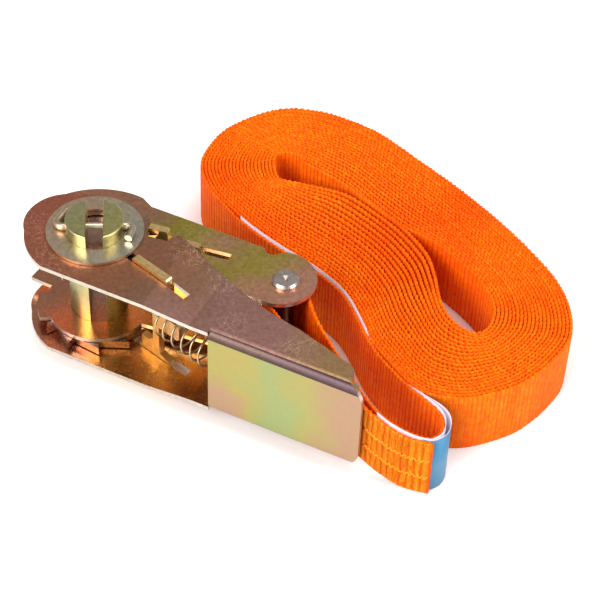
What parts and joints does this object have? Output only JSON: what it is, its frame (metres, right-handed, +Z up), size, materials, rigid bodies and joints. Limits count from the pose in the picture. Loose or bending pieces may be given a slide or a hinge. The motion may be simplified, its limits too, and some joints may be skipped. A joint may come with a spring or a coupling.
{
  "type": "ratchet tie down",
  "caption": "Ratchet buckle with a slotted winding mandrel and a sprung lever handle, its sewn webbing strap folded and wound beside it.",
  "frame": {"origin": "centre of the bounding box's floor, on the plane the wound strap stands on", "axes": "+Z up along the upright mandrel, +X and +Y across the floor, the buckle's length 24.5 degrees clockwise from +X"},
  "size_m": [0.1846, 0.1615, 0.0516],
  "materials": {
    "passivated_steel": "iridescent yellow zinc plating",
    "mandrel_steel": "yellow zinc plating worn towards grey",
    "wheel_steel": "yellow zinc plating",
    "rivet_steel": "bright zinc",
    "spring_steel": "bright wire",
    "orange_webbing": "ribbed polyester webbing",
    "label_cloth": "woven label with a blue band",
    "thread": "polyester thread"
  },
  "bodies": {
    "frame": {"frame_channel": "passivated_steel", "anchor_rivet": "rivet_steel", "lock_spring": "spring_steel", "strap_run": "orange_webbing", "strap_coil": "orange_webbing", "strap_label": "label_cloth", "strap_stitching": "thread"},
    "mandrel": {"half_moon_left": "mandrel_steel", "half_moon_right": "mandrel_steel", "wheel_upper": "wheel_steel", "wheel_lower": "wheel_steel", "washer_upper": "mandrel_steel", "washer_lower": "mandrel_steel", "split_pin_upper": "mandrel_steel", "split_pin_lower": "mandrel_steel"},
    "handle": {"handle_channel": "passivated_steel", "drive_spring": "spring_steel"},
    "drive_pawl": {"drive_pawl": "passivated_steel"},
    "lock_pawl": {"lock_pawl": "passivated_steel"}
  },
  "joints": [
    {"name": "mandrel_spin", "type": "hinge", "parent": "frame", "child": "mandrel", "pos_m": [-0.06762, -0.01254, 0.0258], "axis": [0, 0, 1], "continuous": true},
    {"name": "handle_hinge", "type": "hinge", "parent": "frame", "child": "handle", "pos_m": [-0.06762, -0.01254, 0.0258], "axis": [0, 0, 1], "range_deg": [-155, 0]},
    {"name": "drive_pawl_slide", "type": "slide", "parent": "handle", "child": "drive_pawl", "axis": [0.7604, -0.6494, 0], "range_m": [-0.0023, 0.0065], "stiffness_N_per_m": 600, "deforming": ["drive_spring"]},
    {"name": "lock_pawl_slide", "type": "slide", "parent": "frame", "child": "lock_pawl", "axis": [0.9588, -0.284, 0], "range_m": [0, 0.0092], "deforming": ["lock_spring"]}
  ],
  "couplings": [
    {"joint": "lock_pawl_slide", "follows": "handle_hinge", "m_per_rad": -0.003327}
  ]
}
